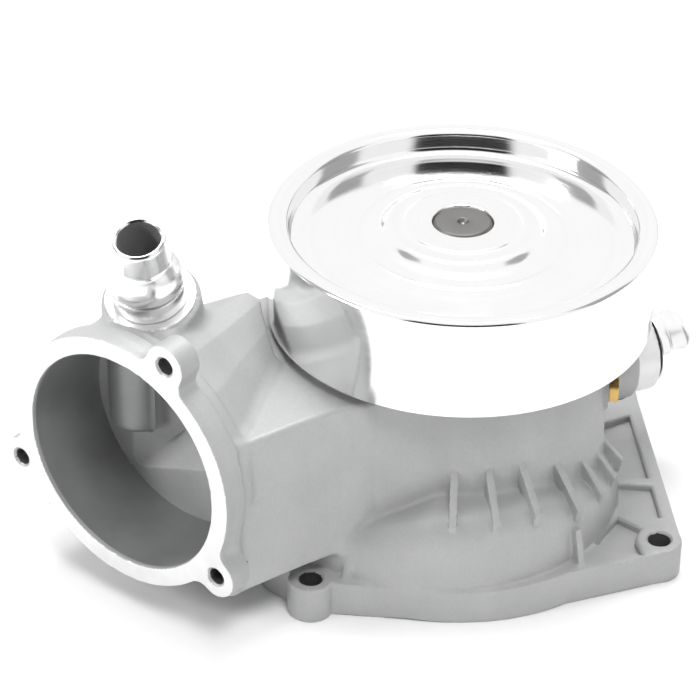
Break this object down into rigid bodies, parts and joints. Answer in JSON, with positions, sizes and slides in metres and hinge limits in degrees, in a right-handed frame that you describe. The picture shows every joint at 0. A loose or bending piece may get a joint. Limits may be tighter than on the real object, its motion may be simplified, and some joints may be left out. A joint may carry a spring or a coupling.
{
  "type": "water pump",
  "caption": "Belt-driven engine coolant pump: spiral aluminium housing, flat-belt pulley, flanged inlet, two hose nipples and a sealed shaft bearing.",
  "frame": {"origin": "middle of the overall box, on the plane of the mounting face that bolts to the engine", "axes": "+Z along the shaft from the mounting face towards the pulley; -Y out of the inlet flange; +X to the right of the inlet seen from outside"},
  "size_m": [0.2165, 0.2327, 0.1553],
  "materials": {
    "cast_aluminium": "fine bead-blasted sand casting, matt grey",
    "turned_aluminium": "bright turned and polished",
    "ground_steel": "turned end, dull grey",
    "bearing_steel": "ground and polished",
    "spring_steel": "drawn wire",
    "cage_nylon": "moulded",
    "black_rubber": "moulded",
    "pressed_steel": "pressed sheet",
    "seal_carbon": "lapped carbon",
    "seal_ceramic": "lapped ceramic",
    "cast_iron": "shot-blasted casting",
    "plug_brass": "turned"
  },
  "bodies": {
    "housing": {"pump_housing": "cast_aluminium", "bearing_outer_ring": "bearing_steel", "bearing_front_seal": "black_rubber", "bearing_rear_seal": "black_rubber", "seal_cup": "pressed_steel", "seal_bellows": "black_rubber", "seal_spring": "spring_steel", "heater_nipple": "turned_aluminium", "bypass_nipple": "turned_aluminium", "bypass_seal_ring": "black_rubber", "brass_plug": "plug_brass"},
    "rotor": {"pulley": "turned_aluminium", "bearing_shaft": "ground_steel", "impeller": "cast_iron", "water_slinger": "black_rubber", "seal_mating_ring": "seal_ceramic"},
    "ball_set": {"ball_cage": "cage_nylon", "bearing_ball_1": "bearing_steel", "bearing_ball_2": "bearing_steel", "bearing_ball_3": "bearing_steel", "bearing_ball_4": "bearing_steel", "bearing_ball_5": "bearing_steel", "bearing_ball_6": "bearing_steel", "bearing_ball_7": "bearing_steel", "bearing_ball_8": "bearing_steel"},
    "roller_set": {"roller_cage": "cage_nylon", "bearing_roller_1": "bearing_steel", "bearing_roller_2": "bearing_steel", "bearing_roller_3": "bearing_steel", "bearing_roller_4": "bearing_steel", "bearing_roller_5": "bearing_steel", "bearing_roller_6": "bearing_steel", "bearing_roller_7": "bearing_steel", "bearing_roller_8": "bearing_steel", "bearing_roller_9": "bearing_steel"},
    "seal_face": {"seal_face_ring": "seal_carbon"}
  },
  "joints": [
    {"name": "shaft_spin", "type": "hinge", "parent": "housing", "child": "rotor", "pos_m": [0.0099, 0.0186, 0], "axis": [0, 0, 1], "continuous": true},
    {"name": "ball_cage_spin", "type": "hinge", "parent": "housing", "child": "ball_set", "pos_m": [0.0099, 0.0186, 0.099], "axis": [0, 0, 1], "continuous": true},
    {"name": "roller_cage_spin", "type": "hinge", "parent": "housing", "child": "roller_set", "pos_m": [0.0099, 0.0186, 0.071], "axis": [0, 0, 1], "continuous": true},
    {"name": "seal_face_slide", "type": "slide", "parent": "housing", "child": "seal_face", "axis": [0, 0, 1], "range_m": [0, 0.0012], "stiffness_N_per_m": 3000, "springref_m": -0.005, "deforming": ["seal_spring", "seal_bellows"]}
  ],
  "couplings": [
    {"joint": "ball_cage_spin", "follows": "shaft_spin", "ratio": 0.38},
    {"joint": "roller_cage_spin", "follows": "shaft_spin", "ratio": 0.38}
  ]
}
